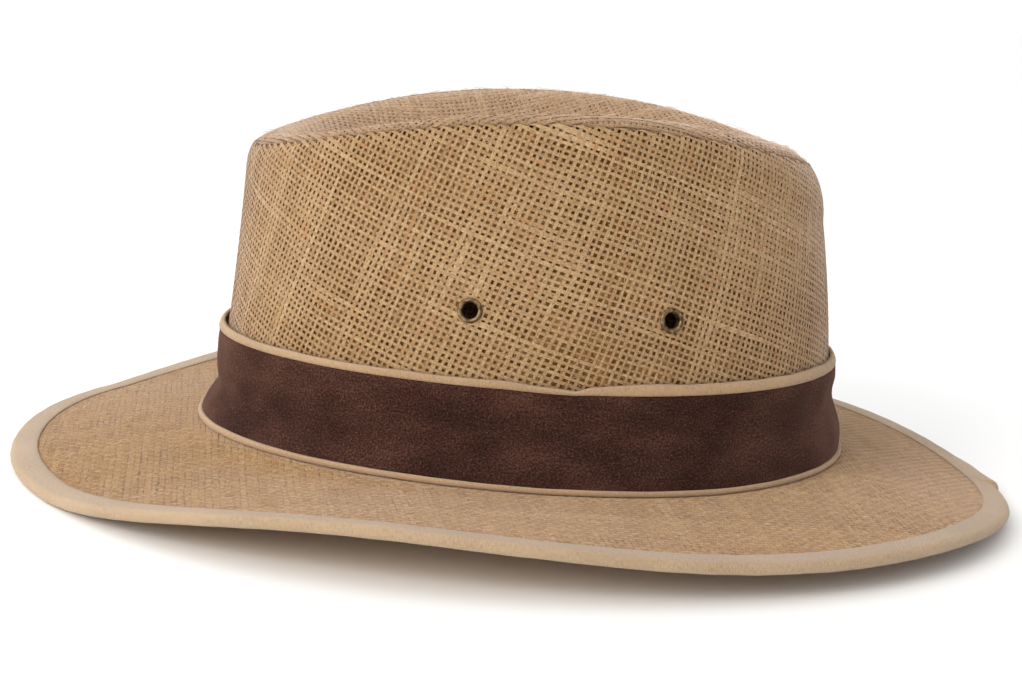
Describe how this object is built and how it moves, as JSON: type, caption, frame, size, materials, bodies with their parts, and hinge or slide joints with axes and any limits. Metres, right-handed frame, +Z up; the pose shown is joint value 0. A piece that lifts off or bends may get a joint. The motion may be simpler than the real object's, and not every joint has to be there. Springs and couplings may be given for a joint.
{
  "type": "fedora hat",
  "caption": "Jute burlap fedora with a dented crown, wide curved brim with a taped wired edge, suede hat band with cloth trims and brass vent eyelets.",
  "frame": {"origin": "on the surface the hat stands on, under the middle of the brim's outline", "axes": "+Z up through the crown, -Y towards the hat's front, +X towards the wearer's left"},
  "size_m": [0.2914, 0.3322, 0.1237],
  "materials": {
    "jute_crown": "open plain weave of light brown jute yarn over a brown backing, matt and slightly hairy",
    "jute_brim": "finer closed jute weave, matt",
    "edge_tape": "smooth cotton tape, sand coloured, matt",
    "suede": "dark brown suede with a soft mottled nap",
    "trim_cloth": "folded sand coloured cotton, matt",
    "old_brass": "antique brass, worn brighter on the rims"
  },
  "bodies": {
    "root": {"crown_side": "jute_crown", "crown_tip": "jute_crown", "brim": "jute_brim", "brim_binding": "edge_tape", "hat_band": "suede", "band_trim_top": "trim_cloth", "band_trim_bottom": "trim_cloth", "eyelet_left_front": "old_brass", "eyelet_left_rear": "old_brass", "eyelet_right_front": "old_brass", "eyelet_right_rear": "old_brass"}
  },
  "joints": []
}
